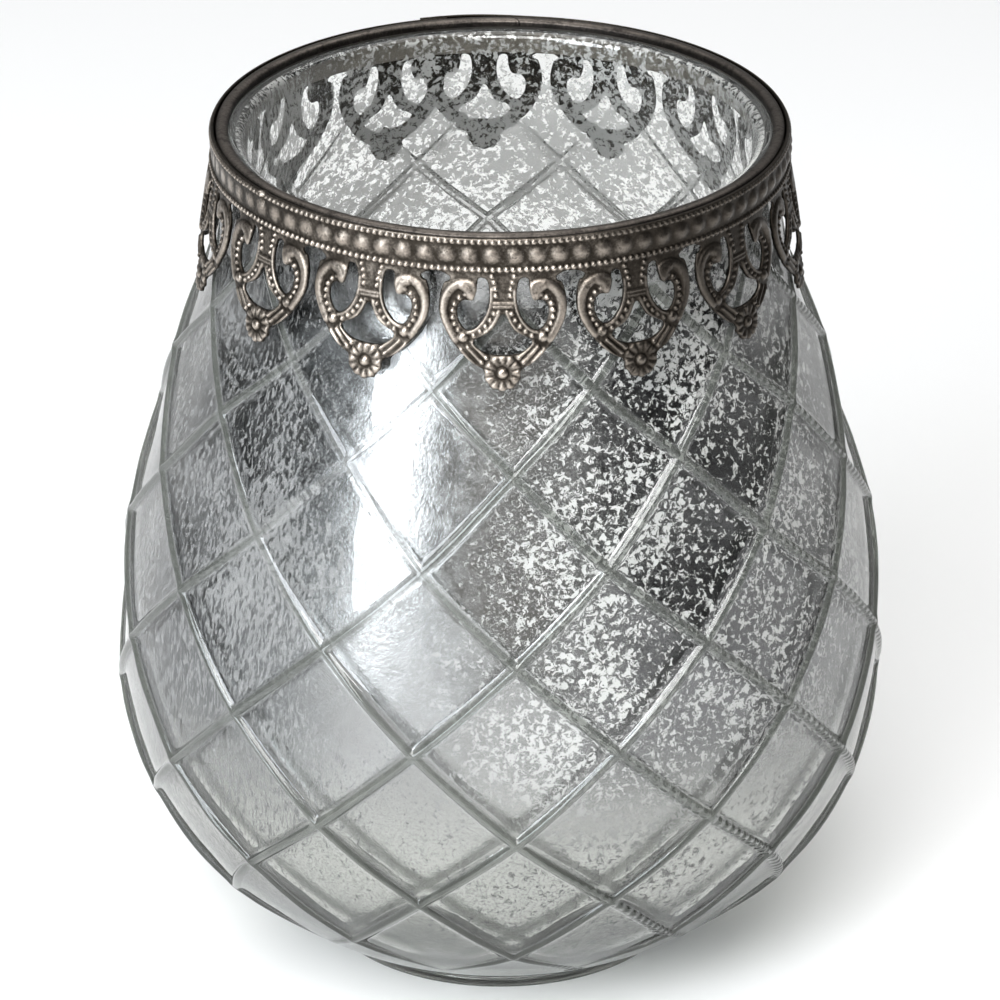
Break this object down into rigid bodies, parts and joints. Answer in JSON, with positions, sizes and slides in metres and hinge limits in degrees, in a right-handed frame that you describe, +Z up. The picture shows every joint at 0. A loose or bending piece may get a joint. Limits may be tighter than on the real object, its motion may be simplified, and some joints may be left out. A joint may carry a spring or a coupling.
{
  "type": "tealight holder",
  "caption": "Bell-shaped clear glass bowl with a diamond rib lattice, mottled silvering inside, and a metal rim ring over a stamped strip of openwork pendants.",
  "frame": {"origin": "centre of the foot, on the surface the holder stands on", "axes": "+Z up along the bowl's axis; -Y is the front, which shows one pendant near its middle; the ring's and the strip's joins are at the back"},
  "size_m": [0.1428, 0.1428, 0.16],
  "materials": {
    "clear_glass": "clear, faintly grey-green, polished",
    "silvering": "mottled mirror film with clear specks",
    "ring_metal": "dark brown-grey patina, satin",
    "strip_metal": "dark patina rubbed bright on the raised beads",
    "adhesive": "translucent set glue"
  },
  "bodies": {
    "root": {"glass_bowl": "clear_glass", "silvering": "silvering", "rim_ring": "ring_metal", "stamped_strip": "strip_metal", "adhesive_bead": "adhesive"}
  },
  "joints": []
}
